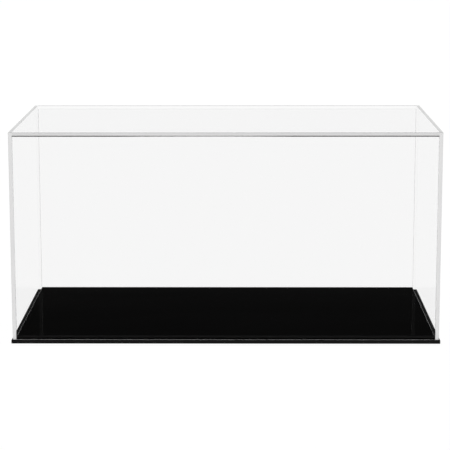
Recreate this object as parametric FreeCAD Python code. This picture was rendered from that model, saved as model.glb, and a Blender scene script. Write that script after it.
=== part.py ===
import FreeCAD, Part
import os

# A display case for one football boot. A clear acrylic cover, bonded from five sheets, stands on
# the ledge of a stepped gloss black base and is kept in place by the raised plate inside it.
# It lifts straight off. Four low pads are stuck under the base.
#
# Frame: +X to the right seen from the front, +Y from the front to the back, +Z up. The origin is
# on the surface that the pads stand on, below the middle of the case.

# Driving dimensions, in millimetres.
COVER_WIDTH = 350.0  # outside, along X
COVER_DEPTH = 190.0  # outside, along Y
COVER_HEIGHT = 171.5  # outside, from the ledge that the cover stands on to its top
SHEET_THICKNESS = 3.0  # of the clear sheet that the cover is made from
COVER_EASE = 0.25  # chamfer that takes the sharpness off the cover's outer edges

LOWER_PLATE_THICKNESS = 3.0
PLINTH_THICKNESS = 3.0
LOWER_PLATE_LIP = 1.1  # how far the lower plate stands out past the cover, on each side
COVER_CLEARANCE = 0.35  # between the cover's inside and the plinth, on each side
BASE_EASE = 0.35  # chamfer along the edges of both base plates

FOOT_DIAMETER = 8.0  # where the pad is stuck to the base
FOOT_HEIGHT = 1.5
FOOT_TAPER = 0.5  # how much smaller the pad's radius is at the bottom
FOOT_ROUNDING = 0.4  # radius around the pad's bottom edge
FOOT_INSET = 14.0  # from the lower plate's edges to the middle of a pad

# Levels and half sizes that follow from them.
BASE_BOTTOM = FOOT_HEIGHT
LEDGE = BASE_BOTTOM + LOWER_PLATE_THICKNESS
PLINTH_TOP = LEDGE + PLINTH_THICKNESS
COVER_TOP = LEDGE + COVER_HEIGHT

HALF_COVER_X = COVER_WIDTH / 2
HALF_COVER_Y = COVER_DEPTH / 2
HALF_INSIDE_X = HALF_COVER_X - SHEET_THICKNESS
HALF_INSIDE_Y = HALF_COVER_Y - SHEET_THICKNESS
HALF_PLATE_X = HALF_COVER_X + LOWER_PLATE_LIP
HALF_PLATE_Y = HALF_COVER_Y + LOWER_PLATE_LIP
HALF_PLINTH_X = HALF_INSIDE_X - COVER_CLEARANCE
HALF_PLINTH_Y = HALF_INSIDE_Y - COVER_CLEARANCE


def block(low, high):
    """A box between two opposite corners, given in either order."""
    corners = [sorted(pair) for pair in zip(low, high)]
    size = [top - bottom for bottom, top in corners]
    return Part.makeBox(*size, FreeCAD.Vector(*[bottom for bottom, top in corners]))


def eased_block(low, high, ease):
    """A box with a small chamfer along all of its edges."""
    solid = block(low, high)
    return solid.makeChamfer(ease, solid.Edges).Solids[0]


def cover_panels():
    """The five clear sheets. The side sheets run the full depth and height, so that their front
    and back edges show. The top sheet lies between them on the front and back sheets. All five
    are cut from one eased outer block, so that their chamfers meet at the corners."""
    outside = eased_block(
        (-HALF_COVER_X, -HALF_COVER_Y, LEDGE),
        (HALF_COVER_X, HALF_COVER_Y, COVER_TOP),
        COVER_EASE,
    )
    under_top = COVER_TOP - SHEET_THICKNESS
    sheets = {
        "cover_top_panel": block(
            (-HALF_INSIDE_X, -HALF_COVER_Y, under_top),
            (HALF_INSIDE_X, HALF_COVER_Y, COVER_TOP),
        )
    }
    for name, side in (("left", -1), ("right", 1)):
        sheets[f"cover_{name}_panel"] = block(
            (side * HALF_INSIDE_X, -HALF_COVER_Y, LEDGE),
            (side * HALF_COVER_X, HALF_COVER_Y, COVER_TOP),
        )
    for name, side in (("front", -1), ("back", 1)):
        sheets[f"cover_{name}_panel"] = block(
            (-HALF_INSIDE_X, side * HALF_INSIDE_Y, LEDGE),
            (HALF_INSIDE_X, side * HALF_COVER_Y, under_top),
        )
    return {name: sheet.common(outside).Solids[0] for name, sheet in sheets.items()}


def base_plates():
    """The lower plate, whose rim is the ledge, and the plinth that the cover drops over."""
    return {
        "base_lower_plate": eased_block(
            (-HALF_PLATE_X, -HALF_PLATE_Y, BASE_BOTTOM),
            (HALF_PLATE_X, HALF_PLATE_Y, LEDGE),
            BASE_EASE,
        ),
        "base_plinth": eased_block(
            (-HALF_PLINTH_X, -HALF_PLINTH_Y, LEDGE),
            (HALF_PLINTH_X, HALF_PLINTH_Y, PLINTH_TOP),
            BASE_EASE,
        ),
    }


def foot(x, y):
    """A tapered pad with a rounded bottom edge, standing at the origin's level."""
    top_radius = FOOT_DIAMETER / 2
    pad = Part.makeCone(
        top_radius - FOOT_TAPER, top_radius, FOOT_HEIGHT, FreeCAD.Vector(x, y, 0)
    )
    bottom_edges = [edge for edge in pad.Edges if edge.BoundBox.ZMax < FOOT_HEIGHT / 2]
    return pad.makeFillet(FOOT_ROUNDING, bottom_edges).Solids[0]


def feet():
    """One pad near each corner of the lower plate."""
    x = HALF_PLATE_X - FOOT_INSET
    y = HALF_PLATE_Y - FOOT_INSET
    return {
        f"foot_{depth_name}_{width_name}": foot(width_side * x, depth_side * y)
        for depth_name, depth_side in (("front", -1), ("back", 1))
        for width_name, width_side in (("left", -1), ("right", 1))
    }


def main():
    """Writes one STEP file for each piece."""
    os.makedirs("parts", exist_ok=True)
    pieces = {**base_plates(), **feet(), **cover_panels()}
    for name, shape in pieces.items():
        shape.exportStep(f"parts/{name}.step")
        print(f"{name:20s} {shape.ShapeType} {shape.Volume:12.1f} mm3 valid {shape.isValid()}")


main()
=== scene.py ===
"""A clear acrylic display case on a stepped gloss black base, in a white studio.

The cover's five sheets, the base plates and the pads each have their own operator, and so has the
studio. Lengths are in metres, and the pieces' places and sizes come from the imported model's boxes.
"""

import math

import bmesh
import bpy
from bpy.props import FloatProperty, FloatVectorProperty, IntProperty, PointerProperty
from mathutils import Matrix, Vector


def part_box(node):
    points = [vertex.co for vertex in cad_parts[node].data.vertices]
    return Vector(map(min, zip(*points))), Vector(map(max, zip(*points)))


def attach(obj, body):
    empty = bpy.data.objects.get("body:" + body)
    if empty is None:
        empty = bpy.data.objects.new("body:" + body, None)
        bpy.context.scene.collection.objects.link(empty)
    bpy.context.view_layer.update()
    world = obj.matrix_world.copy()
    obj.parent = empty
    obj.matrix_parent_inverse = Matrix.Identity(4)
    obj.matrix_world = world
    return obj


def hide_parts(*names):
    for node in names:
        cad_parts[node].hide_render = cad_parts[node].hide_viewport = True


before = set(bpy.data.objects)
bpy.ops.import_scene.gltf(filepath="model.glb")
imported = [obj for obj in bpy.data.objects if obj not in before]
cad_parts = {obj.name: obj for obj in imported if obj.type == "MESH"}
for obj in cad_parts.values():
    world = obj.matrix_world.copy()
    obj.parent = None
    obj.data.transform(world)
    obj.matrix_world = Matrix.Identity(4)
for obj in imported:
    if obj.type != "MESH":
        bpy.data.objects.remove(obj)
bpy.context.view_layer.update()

bl_info = {
    "name": "Acrylic display case",
    "version": (1, 0, 0),
    "blender": (4, 5, 0),
    "location": "View3D > Sidebar > Display case",
    "description": "Finishes a lift-off acrylic display case and sets up a white studio for it",
    "category": "Object",
}

COVER_SHEETS = (
    "cover_top_panel",
    "cover_front_panel",
    "cover_back_panel",
    "cover_left_panel",
    "cover_right_panel",
)
BASE_PLATES = ("base_lower_plate", "base_plinth")
FEET = ("foot_front_left", "foot_front_right", "foot_back_left", "foot_back_right")

# A side of a sheet is an axis and an end.
X, Y, Z = AXES = range(3)
LOW, HIGH = range(2)
TOUCHING = 0.0001  # a side that is closer than this to the cover's outside lies on it

# The material slots of a clear sheet: broad faces inside and outside the cover, polished edges,
# those of the top sheet, rounded edges, cemented joints, and the dark line along a level joint.
BROAD, OUTER, EDGE, LEVEL_EDGE, ARRIS, JOINT, SEAM = range(7)

WHITE = (1.0, 1.0, 1.0)
ACRYLIC_IOR = 1.49
RUBBER_IOR = 1.5
FINE_RELIEF = 0.00001  # depth of the grain in a polished edge or a moulded pad
FACING_UP = 0.1  # a side faces up where the upward part of its normal is more than this

# Where the dark seam is weakest, along X, and how far from there it is at its full strength.
SEAM_WEAKEST = -0.015
SEAM_FADE = 0.0707

# The studio that gloss mirrors: how bright it is at each rise above the horizon, where 0 is level
# and 1 is straight up.
MIRRORED_STUDIO = (
    (0.0, 0.9),
    (0.1, 0.8),
    (0.15, 0.7),
    (0.19, 0.02),
    (0.235, 0.004),
    (0.45, 0.02),
    (0.72, 0.25),
    (0.85, 0.4),
)
SENSOR_WIDTH = 36.0  # of the camera, in millimetres
CLEAR_FACES_IN_LINE = 48  # the most clear faces that a line of sight passes through


# ---------------------------------------------------------------- settings


class CoverSettings(bpy.types.PropertyGroup):
    """The clear cover: how its sheets are finished and joined."""

    edge_rounding: FloatProperty(
        name="Edge rounding",
        description="Radius left by polishing along the cover's outer edges",
        default=0.00025,
        min=0.0,
        subtype="DISTANCE",
        unit="LENGTH",
    )
    rounding_steps: IntProperty(
        name="Rounding steps",
        description="Flat strips that make up each rounded edge",
        default=3,
        min=1,
    )
    cement_gap: FloatProperty(
        name="Cement gap",
        description="Thickness of the cement between two bonded sheets",
        default=0.00004,
        min=0.0,
        subtype="DISTANCE",
        unit="LENGTH",
    )
    seam_height: FloatProperty(
        name="Seam height",
        description="Height of the dark line where the top sheet meets the front and back sheets",
        default=0.00085,
        min=0.0,
        subtype="DISTANCE",
        unit="LENGTH",
    )
    sheet_colour: FloatVectorProperty(
        name="Sheet colour",
        description="What one face of a sheet lets through",
        default=(0.978, 0.978, 0.978),
        subtype="COLOR",
        min=0.0,
        max=1.0,
    )
    mirror: FloatProperty(
        name="Mirror",
        description="Share of light that a face mirrors when it is seen edge-on",
        default=0.04,
        min=0.0,
        max=1.0,
        subtype="FACTOR",
    )
    # A painted glow: this pale grey stands in for the light that runs along inside a sheet and
    # leaves at its edge.
    painted_glow_colour: FloatVectorProperty(
        name="Polished edge colour",
        description="The pale grey of light that runs along inside a sheet and leaves at its edge",
        default=(0.71, 0.71, 0.71),
        subtype="COLOR",
        min=0.0,
        max=1.0,
    )
    # Painted glow as well, a little darker, because the top sheet's edges take less light from the
    # others.
    level_painted_glow_colour: FloatVectorProperty(
        name="Top sheet's edge colour",
        description="The same on the top sheet, whose edges take less light from the others",
        default=(0.65, 0.65, 0.65),
        subtype="COLOR",
        min=0.0,
        max=1.0,
    )
    # A painted reflection: this grey stands in for the dark surroundings that the rounded edges bend
    # into view, and it is laid on most where they face up, as a painted highlight.
    arris_highlight_colour: FloatVectorProperty(
        name="Rounded edge colour",
        description="The grey of the narrow rounded edges, which bend dark surroundings into view",
        default=(0.20, 0.20, 0.20),
        subtype="COLOR",
        min=0.0,
        max=1.0,
    )
    joint_colour: FloatVectorProperty(
        name="Joint colour",
        description="Colour of the haze in the cemented joints",
        default=(0.12, 0.12, 0.12),
        subtype="COLOR",
        min=0.0,
        max=1.0,
    )
    seam_colour: FloatVectorProperty(
        name="Seam colour",
        description="Colour of the dark line where the top sheet meets the front and back sheets",
        default=(0.03, 0.03, 0.03),
        subtype="COLOR",
        min=0.0,
        max=1.0,
    )


class BaseSettings(bpy.types.PropertyGroup):
    """The two gloss black plates."""

    colour: FloatVectorProperty(
        name="Plate colour",
        description="Body colour of the black acrylic",
        default=(0.003, 0.003, 0.003),
        subtype="COLOR",
        min=0.0,
        max=1.0,
    )
    roughness: FloatProperty(
        name="Polish",
        description="Roughness of the cleanest parts of the plates",
        default=0.03,
        min=0.0,
        max=1.0,
        subtype="FACTOR",
    )


class FootSettings(bpy.types.PropertyGroup):
    """The pads under the base."""

    colour: FloatVectorProperty(
        name="Pad colour",
        description="Colour of the clear rubber",
        default=(0.72, 0.73, 0.71),
        subtype="COLOR",
        min=0.0,
        max=1.0,
    )


class StageSettings(bpy.types.PropertyGroup):
    """The studio: floor, light and camera."""

    floor_size: FloatProperty(
        name="Floor size",
        description="Length of the floor's sides",
        default=60.0,
        min=1.0,
        subtype="DISTANCE",
        unit="LENGTH",
    )
    floor_colour: FloatVectorProperty(
        name="Floor colour",
        description="Colour of the pale floor under its own light",
        default=(0.04, 0.04, 0.04),
        subtype="COLOR",
        min=0.0,
        max=1.0,
    )
    floor_glow: FloatProperty(
        name="Floor light",
        description="Brightness of the light that comes up through the floor",
        default=0.97,
        min=0.0,
    )
    light: FloatProperty(
        name="Surrounding light",
        description="Brightness of the soft light from all around",
        default=1.0,
        min=0.0,
    )
    camera_place: FloatVectorProperty(
        name="Camera place",
        description="Where the camera stands, from the middle of the base plate's underside",
        default=(0.01072, -1.4815, 0.35545),
        subtype="TRANSLATION",
        unit="LENGTH",
    )
    heading: FloatProperty(
        name="Heading",
        description="How far the camera is turned to the left of straight ahead",
        default=math.radians(0.46),
        subtype="ANGLE",
        unit="ROTATION",
    )
    tilt: FloatProperty(
        name="Tilt",
        description="How far the camera looks down",
        default=math.radians(10.48),
        subtype="ANGLE",
        unit="ROTATION",
    )
    roll: FloatProperty(
        name="Roll",
        description="How far the camera leans to one side",
        default=math.radians(-0.07),
        subtype="ANGLE",
        unit="ROTATION",
    )
    lens: FloatProperty(
        name="Lens",
        description="Focal length in millimetres",
        default=139.05,
        min=1.0,
        subtype="DISTANCE_CAMERA",
        unit="CAMERA",
    )


# ---------------------------------------------------------------- materials


class Wire:
    """A node's output. Arithmetic on it, or a comparison, adds Math nodes."""

    def __init__(self, finish, socket):
        self.finish = finish
        self.socket = socket

    def maths(self, operation, *values):
        return self.finish.node("ShaderNodeMath", {"operation": operation}, values)

    def __add__(self, other):
        return self.maths("ADD", self, other)

    __radd__ = __add__

    def __mul__(self, other):
        return self.maths("MULTIPLY", self, other)

    __rmul__ = __mul__

    def __sub__(self, other):
        return self.maths("SUBTRACT", self, other)

    def __rsub__(self, other):
        return self.maths("SUBTRACT", other, self)

    def __pow__(self, other):
        return self.maths("POWER", self, other)

    def __gt__(self, other):
        return self.maths("GREATER_THAN", self, other)


class Finish:
    """A node tree under construction, of a material or of the world."""

    def __init__(self, owner):
        owner.use_nodes = True
        self.owner = owner
        self.tree = owner.node_tree
        self.tree.nodes.clear()

    def node(self, kind, settings=None, inputs=(), output=0):
        """Adds a node. Settings come first, then the values or wires of its inputs, by place or
        by name. Returns a wire from the output asked for."""
        node = self.tree.nodes.new(kind)
        for key, value in (settings or {}).items():
            if key == "stops":
                self.set_stops(node.color_ramp, value)
            else:
                setattr(node, key, value)
        named = inputs.items() if isinstance(inputs, dict) else enumerate(inputs)
        for key, value in named:
            if isinstance(value, Wire):
                self.tree.links.new(value.socket, node.inputs[key])
            else:
                node.inputs[key].default_value = value
        return Wire(self, node.outputs[output]) if node.outputs else None

    @staticmethod
    def set_stops(ramp, stops):
        """Gives a colour ramp these (place, colour) stops."""
        while len(ramp.elements) > 1:
            ramp.elements.remove(ramp.elements[-1])
        for number, (place, colour) in enumerate(stops):
            stop = ramp.elements[0] if number == 0 else ramp.elements.new(place)
            stop.position = place
            stop.color = opaque(colour)

    def place(self, factors=(1.0, 1.0, 1.0)):
        """The piece's own coordinates in metres, times a factor along each axis. A factor below 1
        draws marks out along its axis."""
        own = self.node("ShaderNodeTexCoord", output="Object")
        return self.node("ShaderNodeMapping", {}, {"Vector": own, "Scale": factors})

    def noise(self, scale, detail=2.0, factors=(1.0, 1.0, 1.0)):
        """Smooth noise from 0 to 1, with scale in cycles per metre."""
        return self.node(
            "ShaderNodeTexNoise",
            {},
            {"Vector": self.place(factors), "Scale": scale, "Detail": detail},
        )

    def ramp(self, value, low, high, start=0.0, end=1.0):
        """Start below low, end above high, and a straight slope between."""
        return self.node(
            "ShaderNodeMapRange",
            {"clamp": True},
            {
                "Value": value,
                "From Min": low,
                "From Max": high,
                "To Min": start,
                "To Max": end,
            },
        )

    def part(self, vector, axis):
        """One of the three parts of a vector."""
        return self.node("ShaderNodeSeparateXYZ", {}, [vector], output=axis)

    def slant(self):
        """0 where a face is seen square on, rising to 1 where it is seen edge-on."""
        return self.node("ShaderNodeLayerWeight", {}, {"Blend": 0.5}, output="Facing")

    def from_inside(self):
        """1 where a face is seen from inside its piece, 0 elsewhere."""
        return self.node("ShaderNodeNewGeometry", output="Backfacing")

    def faces_up(self):
        """1 on the sides of a sheet that face up, 0 on the others. Seen from inside, a face has
        its normal turned round, so it is turned back first."""
        normal = self.node("ShaderNodeNewGeometry", output="Normal")
        return self.part(normal, Z) * (1.0 - 2.0 * self.from_inside()) > FACING_UP

    def mix_colour(self, share, first, second):
        """First where share is 0, second where it is 1."""
        return self.node(
            "ShaderNodeMix",
            {"data_type": "RGBA"},
            {0: share, 6: opaque(first), 7: opaque(second)},
            output=2,
        )

    def shaded(self, share, colour, darkest, lightest):
        """A colour times darkest where share is 0, and times lightest where it is 1."""
        return self.mix_colour(share, Vector(colour) * darkest, Vector(colour) * lightest)

    def bump(self, height, depth):
        """A normal for fine relief, with the relief's depth in metres."""
        return self.node("ShaderNodeBump", {}, {"Height": height, "Distance": depth})

    def solid(self, inputs):
        """A surface that light doesn't pass through."""
        return self.node("ShaderNodeBsdfPrincipled", {}, inputs)

    def clear(self, colour):
        """A surface that light passes straight through, in this colour."""
        return self.node("ShaderNodeBsdfTransparent", {}, [opaque(colour)])

    def mix_shader(self, share, first, second):
        """First where share is 0, second where it is 1."""
        return self.node("ShaderNodeMixShader", {}, (share, first, second))

    def done(self, surface):
        """Ends the tree in its output and returns what it belongs to."""
        kind = "World" if isinstance(self.owner, bpy.types.World) else "Material"
        self.node(f"ShaderNodeOutput{kind}", {}, [surface])
        return self.owner


def opaque(colour):
    """A plain colour with its alpha added, or a wire as it is."""
    return colour if isinstance(colour, Wire) else (*colour, 1.0)


def between(share, first, second):
    """A value that is first where share is 0 and second where it is 1."""
    return first + (second - first) * share


def clear_sheet_finish(settings):
    """The broad faces: clear, with faint wiping marks in a mirror that only shows at a slant, as
    it grows with the slant's fifth power."""
    finish = Finish(bpy.data.materials.new("clear_acrylic"))
    wiping = finish.noise(scale=14.0, detail=3.0, factors=(1.0, 1.0, 0.35))
    marks = 0.05 * finish.ramp(wiping, low=0.5, high=0.75)
    grain = 0.012 * finish.noise(scale=260.0)
    mirror = finish.node(
        "ShaderNodeBsdfAnisotropic",
        {},
        {"Color": opaque(WHITE), "Roughness": 0.012 + marks + grain},
    )
    share = settings.mirror * finish.slant() ** 5.0
    return finish.done(finish.mix_shader(share, finish.clear(settings.sheet_colour), mirror))


def over_clear(finish, settings, solid, outside, inside):
    """Covers part of a clear face with a solid: one share of it where the face is seen from
    outside, and another where it is seen through the sheet."""
    share = between(finish.from_inside(), outside, inside)
    return finish.mix_shader(share, finish.clear(settings.sheet_colour), solid)


def polished_edge_glow_finish(settings, name, colour):
    """The bare edges of the sheets. From outside they carry a painted glow: pale grey that stands in
    for the light that runs along inside a sheet and leaves at its edge. Seen through the sheet they
    are nearly clear."""
    finish = Finish(bpy.data.materials.new(name))
    patches = finish.ramp(finish.noise(scale=22.0), low=0.3, high=0.7)
    # The painted glow: a pale grey solid laid over most of the clear edge face.
    pale = finish.solid(
        {
            "Base Color": finish.shaded(patches, colour, darkest=0.97, lightest=1.03),
            "Roughness": between(patches, 0.10, 0.22),
            "Specular IOR Level": 0.3,
            "Normal": finish.bump(finish.noise(scale=900.0), depth=FINE_RELIEF),
        }
    )
    return finish.done(over_clear(finish, settings, pale, outside=0.95, inside=0.025))


def rounded_edge_highlight_finish(settings):
    """The narrow rounded edges, with a painted highlight that reads as fine grey lines, most of all
    where they face up.
    """
    finish = Finish(bpy.data.materials.new("rounded_edge_painted_highlight"))
    cloud = finish.noise(scale=300.0)
    line = finish.solid(
        {
            "Base Color": finish.shaded(cloud, settings.arris_highlight_colour, darkest=0.9, lightest=1.1),
            "Roughness": 0.12,
            "Specular IOR Level": 0.3,
        }
    )
    # Painted highlight: the grey line covers more of an edge that faces up, seen from outside and
    # most of all through the sheet.
    up = finish.faces_up()
    outside = between(up, 0.5, 0.7)
    inside = between(up, 0.03, 0.9)
    return finish.done(over_clear(finish, settings, line, outside, inside))


def cemented_joint_finish(settings):
    """The bonded ends of the sheets: a faint haze, thinner where the joint lies level."""
    finish = Finish(bpy.data.materials.new("cemented_acrylic_joint"))
    cloud = finish.noise(scale=700.0, detail=3.0)
    specks = finish.ramp(cloud, low=0.35, high=0.65, start=0.8)
    haze = finish.solid(
        {"Base Color": opaque(settings.joint_colour), "Roughness": 0.35, "Specular IOR Level": 0.2}
    )
    share = between(finish.faces_up(), 0.55, 0.08) * specks
    return finish.done(finish.mix_shader(share, finish.clear(settings.sheet_colour), haze))


def dark_seam_finish(settings):
    """The thin dark line along a level joint. It is weaker near the middle of its length."""
    finish = Finish(bpy.data.materials.new("dark_acrylic_seam"))
    cloud = finish.noise(scale=40.0, detail=3.0)
    line = finish.solid(
        {
            "Base Color": finish.shaded(cloud, settings.seam_colour, darkest=0.6, lightest=1.4),
            "Roughness": 0.3,
            "Specular IOR Level": 0.2,
        }
    )
    away = (finish.part(finish.place(), X) - SEAM_WEAKEST) ** 2.0
    outside = finish.ramp(away, low=0.0, high=SEAM_FADE**2, start=0.6, end=0.95)
    return finish.done(over_clear(finish, settings, line, outside, inside=0.03))


def black_acrylic_finish(settings):
    """Gloss black sheet with soft wiping marks in its polish. At a low slant most of its mirror
    gives way to matt black."""
    finish = Finish(bpy.data.materials.new("gloss_black_acrylic"))
    wiping = finish.noise(scale=9.0, detail=3.0, factors=(0.5, 1.6, 1.0))
    marks = finish.ramp(wiping, low=0.45, high=0.75)
    grain = finish.noise(scale=420.0)
    gloss = finish.solid(
        {
            "Base Color": finish.shaded(marks, settings.colour, darkest=0.95, lightest=1.15),
            "Roughness": settings.roughness + 0.01 * marks + 0.003 * grain,
            "IOR": ACRYLIC_IOR,
            "Specular IOR Level": 0.08,
        }
    )
    matt = finish.node("ShaderNodeBsdfDiffuse", {}, [opaque(settings.colour)])
    share = finish.ramp(finish.slant(), low=0.8, high=0.95, end=0.6)
    return finish.done(finish.mix_shader(share, gloss, matt))


def clear_rubber_finish(settings):
    """Soft clear rubber, slightly milky, with a fine moulded grain."""
    finish = Finish(bpy.data.materials.new("clear_rubber"))
    cloud = finish.noise(scale=600.0, detail=3.0)
    milky = finish.solid(
        {
            "Base Color": finish.shaded(cloud, settings.colour, darkest=0.86, lightest=1.0),
            "Roughness": finish.ramp(cloud, low=0.2, high=0.8, start=0.22, end=0.42),
            "IOR": RUBBER_IOR,
            "Normal": finish.bump(finish.noise(scale=4000.0), depth=FINE_RELIEF),
        }
    )
    clear_share = 0.3
    return finish.done(finish.mix_shader(clear_share, milky, finish.clear(settings.colour)))


def floor_finish(settings):
    """A floor that is lit from below, like a light table, and so takes almost no shadow."""
    finish = Finish(bpy.data.materials.new("pale_floor"))
    cloud = finish.noise(scale=120.0)
    surface = finish.solid(
        {
            "Base Color": finish.shaded(cloud, settings.floor_colour, darkest=0.9, lightest=1.0),
            "Roughness": 0.9,
            "Specular IOR Level": 0.0,
            "Emission Color": opaque(WHITE),
            "Emission Strength": settings.floor_glow,
        }
    )
    return finish.done(surface)


# ---------------------------------------------------------------- pieces


def sheet_sides(low, high, cover_low, cover_high):
    """A sheet's thin axis, the sides that lie on the cover's outside, and every side's slot."""
    thin = min(AXES, key=lambda axis: high[axis] - low[axis])
    outside = set()
    slots = {}
    for axis in AXES:
        for end, corner, hull in ((LOW, low, cover_low), (HIGH, high, cover_high)):
            side = (axis, end)
            if abs(corner[axis] - hull[axis]) < TOUCHING:
                outside.add(side)
            if axis == thin:
                slots[side] = OUTER if side in outside else BROAD
            elif side in outside:
                slots[side] = LEVEL_EDGE if thin == Z else EDGE
            else:
                slots[side] = BROAD if thin == Z else JOINT
    return thin, outside, slots


def drawn_back(low, high, outside, gap):
    """A sheet's corners with some of its sides drawn back by a gap: all that aren't on the
    cover's outside, and the foot that stands on the base."""
    corners = [Vector(low), Vector(high)]
    for axis in AXES:
        for end, inward in ((LOW, 1), (HIGH, -1)):
            if (axis, end) not in outside or (axis, end) == (Z, LOW):
                corners[end][axis] += inward * gap
    return corners


def sheet_block(low, high, outside, slots):
    """A block with a slot on each side, and its edges between two sides on the outside."""
    work = bmesh.new()
    place = Matrix.Translation((low + high) / 2) @ Matrix.Diagonal((*(high - low), 1.0))
    bmesh.ops.create_cube(work, size=1.0, matrix=place)
    on_outside = set()
    for face in work.faces:
        axis = max(AXES, key=lambda a: abs(face.normal[a]))
        side = (axis, HIGH if face.normal[axis] > 0 else LOW)
        face.material_index = slots[side]
        if side in outside:
            on_outside.add(face)
    edges = [edge for edge in work.edges if all(face in on_outside for face in edge.link_faces)]
    return work, edges


def cut_seam(work, joint, inward, height, slot):
    """Gives the seam's finish to a strip along a level joint, on the faces of one slot. Inward is
    1 where the sheet lies above the joint and -1 where it lies below."""
    level = joint + inward * height
    everything = [*work.verts, *work.edges, *work.faces]
    bmesh.ops.bisect_plane(work, geom=everything, plane_co=(0, 0, level), plane_no=(0, 0, 1))
    for face in work.faces:
        past = inward * (face.calc_center_median().z - level)
        if face.material_index == slot and past < 0:
            face.material_index = SEAM


def settle_face_order(work):
    """Sorts the faces by their corners, because rounding the edges leaves the faces in an order
    that changes from run to run."""
    work.verts.index_update()
    faces = sorted(work.faces, key=lambda face: [vert.index for vert in face.verts])
    place = {face: number for number, face in enumerate(faces)}
    work.faces.sort(key=lambda face: place[face])


def sheet_piece(node, settings, cover_low, cover_high, finishes):
    """One clear sheet, a hair smaller than its node where it is bonded, with its outer edges
    rounded and a finish for each kind of face."""
    low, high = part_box(node)
    thin, outside, slots = sheet_sides(low, high, cover_low, cover_high)
    low, high = drawn_back(low, high, outside, settings.cement_gap / 2)
    work, outer_edges = sheet_block(low, high, outside, slots)
    bmesh.ops.bevel(
        work,
        geom=outer_edges,
        offset=settings.edge_rounding,
        segments=settings.rounding_steps,
        profile=0.5,  # round
        affect="EDGES",
        material=ARRIS,
    )
    # The foot has one finish all over, its rounding too.
    for face in work.faces:
        if face.calc_center_median().z < cover_low.z + settings.edge_rounding:
            face.material_index = EDGE
    half_seam = settings.seam_height / 2
    if thin == Z:
        cut_seam(work, joint=low.z, inward=1, height=half_seam, slot=LEVEL_EDGE)
    elif thin == Y:
        cut_seam(work, joint=high.z, inward=-1, height=half_seam, slot=OUTER)
    settle_face_order(work)
    mesh = bpy.data.meshes.new(node)
    work.to_mesh(mesh)
    work.free()
    for slot in sorted(finishes):
        mesh.materials.append(finishes[slot])
    piece = put_in_scene(f"clear_{node}", mesh)
    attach(piece, "cover")
    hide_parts(node)


def box_of(nodes):
    """The lowest and highest corners of several nodes together."""
    boxes = [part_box(node) for node in nodes]
    low = Vector(min(box[LOW][axis] for box in boxes) for axis in AXES)
    high = Vector(max(box[HIGH][axis] for box in boxes) for axis in AXES)
    return low, high


def put_in_scene(name, data):
    """A new object in the scene, made from a mesh or a camera."""
    thing = bpy.data.objects.new(name, data)
    bpy.context.scene.collection.objects.link(thing)
    return thing


def dress(node, finish):
    """Gives a CAD node its finish."""
    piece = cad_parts[node]
    piece.data.materials.clear()
    piece.data.materials.append(finish)


# ---------------------------------------------------------------- stage


def make_floor(settings):
    """A wide floor at the level that the pads stand on."""
    half = settings.floor_size / 2
    mesh = bpy.data.meshes.new("floor")
    mesh.from_pydata(
        [(-half, -half, 0.0), (half, -half, 0.0), (half, half, 0.0), (-half, half, 0.0)],
        [],
        [(0, 1, 2, 3)],
    )
    mesh.materials.append(floor_finish(settings))
    put_in_scene("floor", mesh)


def make_surroundings(scene, settings):
    """Soft white light from all around. What gloss mirrors is pale near the horizon, dark above
    it and grey overhead, as in a studio with a soft light on its ceiling."""
    world = bpy.data.worlds.new("studio")
    scene.world = world
    finish = Finish(world)
    rise = finish.part(finish.node("ShaderNodeTexCoord", output="Generated"), Z)
    stops = [(level, (grey, grey, grey)) for level, grey in MIRRORED_STUDIO]
    mirrored = finish.node("ShaderNodeValToRGB", {"stops": stops}, [rise])
    is_mirror = finish.node("ShaderNodeLightPath", output="Is Glossy Ray")
    is_diffuse = finish.node("ShaderNodeLightPath", output="Is Diffuse Ray")
    colour = finish.mix_colour(is_mirror, WHITE, mirrored)
    strength = between(is_diffuse, 1.0, settings.light)
    finish.done(finish.node("ShaderNodeBackground", {}, [colour, strength]))


def make_camera(scene, settings):
    """The camera, placed from the middle of the base plate's underside."""
    data = bpy.data.cameras.new("camera")
    data.lens = settings.lens
    data.sensor_width = SENSOR_WIDTH
    data.clip_end = settings.floor_size
    low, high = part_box("base_lower_plate")
    underside = Vector(((low.x + high.x) / 2, (low.y + high.y) / 2, low.z))
    camera = put_in_scene("camera", data)
    camera.matrix_world = (
        Matrix.Translation(underside + Vector(settings.camera_place))
        @ Matrix.Rotation(settings.heading, 4, "Z")
        @ Matrix.Rotation(math.pi / 2 - settings.tilt, 4, "X")
        @ Matrix.Rotation(settings.roll, 4, "Z")
    )
    scene.camera = camera


def tune_rendering(scene):
    """Plain tones, and light that gets through the whole cover."""
    scene.view_settings.view_transform = "Standard"
    scene.cycles.transparent_max_bounces = CLEAR_FACES_IN_LINE


# ---------------------------------------------------------------- operators


class CASE_OT_cover_sheets(bpy.types.Operator):
    """Make the cover's clear sheets with polished edges and cemented joints"""

    bl_idname = "display_case.cover_sheets"
    bl_label = "Cover sheets"

    def execute(self, context):
        settings = context.scene.case_cover
        clear = clear_sheet_finish(settings)
        finishes = {
            BROAD: clear,
            OUTER: clear,
            # The polished edges' pale grey is a painted glow, and the rounded edges' grey lines are
            # a painted highlight.
            EDGE: polished_edge_glow_finish(settings, "acrylic_edge_painted_glow", settings.painted_glow_colour),
            LEVEL_EDGE: polished_edge_glow_finish(
                settings, "level_edge_painted_glow", settings.level_painted_glow_colour
            ),
            ARRIS: rounded_edge_highlight_finish(settings),
            JOINT: cemented_joint_finish(settings),
            SEAM: dark_seam_finish(settings),
        }
        cover_low, cover_high = box_of(COVER_SHEETS)
        for node in COVER_SHEETS:
            sheet_piece(node, settings, cover_low, cover_high, finishes)
        return {"FINISHED"}


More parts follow.
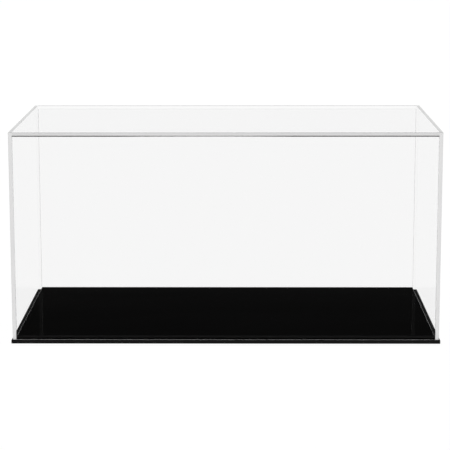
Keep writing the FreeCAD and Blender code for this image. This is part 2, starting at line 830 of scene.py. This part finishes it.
class CASE_OT_base_plates(bpy.types.Operator):
    """Finish the lower plate and the plinth in gloss black acrylic"""

    bl_idname = "display_case.base_plates"
    bl_label = "Base plates"

    def execute(self, context):
        finish = black_acrylic_finish(context.scene.case_base)
        for node in BASE_PLATES:
            dress(node, finish)
        return {"FINISHED"}


class CASE_OT_feet(bpy.types.Operator):
    """Finish the pads under the base in clear rubber"""

    bl_idname = "display_case.feet"
    bl_label = "Feet"

    def execute(self, context):
        finish = clear_rubber_finish(context.scene.case_feet)
        for node in FEET:
            dress(node, finish)
        return {"FINISHED"}


class CASE_OT_stage(bpy.types.Operator):
    """Set up the pale floor, the soft light and the camera"""

    bl_idname = "display_case.stage"
    bl_label = "Stage"

    def execute(self, context):
        settings = context.scene.case_stage
        make_floor(settings)
        make_surroundings(context.scene, settings)
        make_camera(context.scene, settings)
        tune_rendering(context.scene)
        return {"FINISHED"}


class CASE_PT_panel(bpy.types.Panel):
    """The display case's settings and steps"""

    bl_label = "Display case"
    bl_idname = "CASE_PT_panel"
    bl_space_type = "VIEW_3D"
    bl_region_type = "UI"
    bl_category = "Display case"

    def draw(self, context):
        for label, name, group, operator in STEPS:
            box = self.layout.box()
            box.label(text=label)
            for setting in group.__annotations__:
                box.prop(getattr(context.scene, name), setting)
            box.operator(operator.bl_idname)


# Each step's label, the name and the group of its settings, and its operator.
STEPS = (
    ("Cover", "case_cover", CoverSettings, CASE_OT_cover_sheets),
    ("Base", "case_base", BaseSettings, CASE_OT_base_plates),
    ("Feet", "case_feet", FootSettings, CASE_OT_feet),
    ("Stage", "case_stage", StageSettings, CASE_OT_stage),
)


def register():
    for _, name, group, operator in STEPS:
        bpy.utils.register_class(group)
        setattr(bpy.types.Scene, name, PointerProperty(type=group))
        bpy.utils.register_class(operator)
    bpy.utils.register_class(CASE_PT_panel)


def unregister():
    bpy.utils.unregister_class(CASE_PT_panel)
    for _, name, group, operator in reversed(STEPS):
        bpy.utils.unregister_class(operator)
        delattr(bpy.types.Scene, name)
        bpy.utils.unregister_class(group)


def main():
    """Makes the whole scene."""
    register()
    bpy.ops.display_case.cover_sheets()
    bpy.ops.display_case.base_plates()
    bpy.ops.display_case.feet()
    bpy.ops.display_case.stage()


if __name__ == "__main__":
    main()
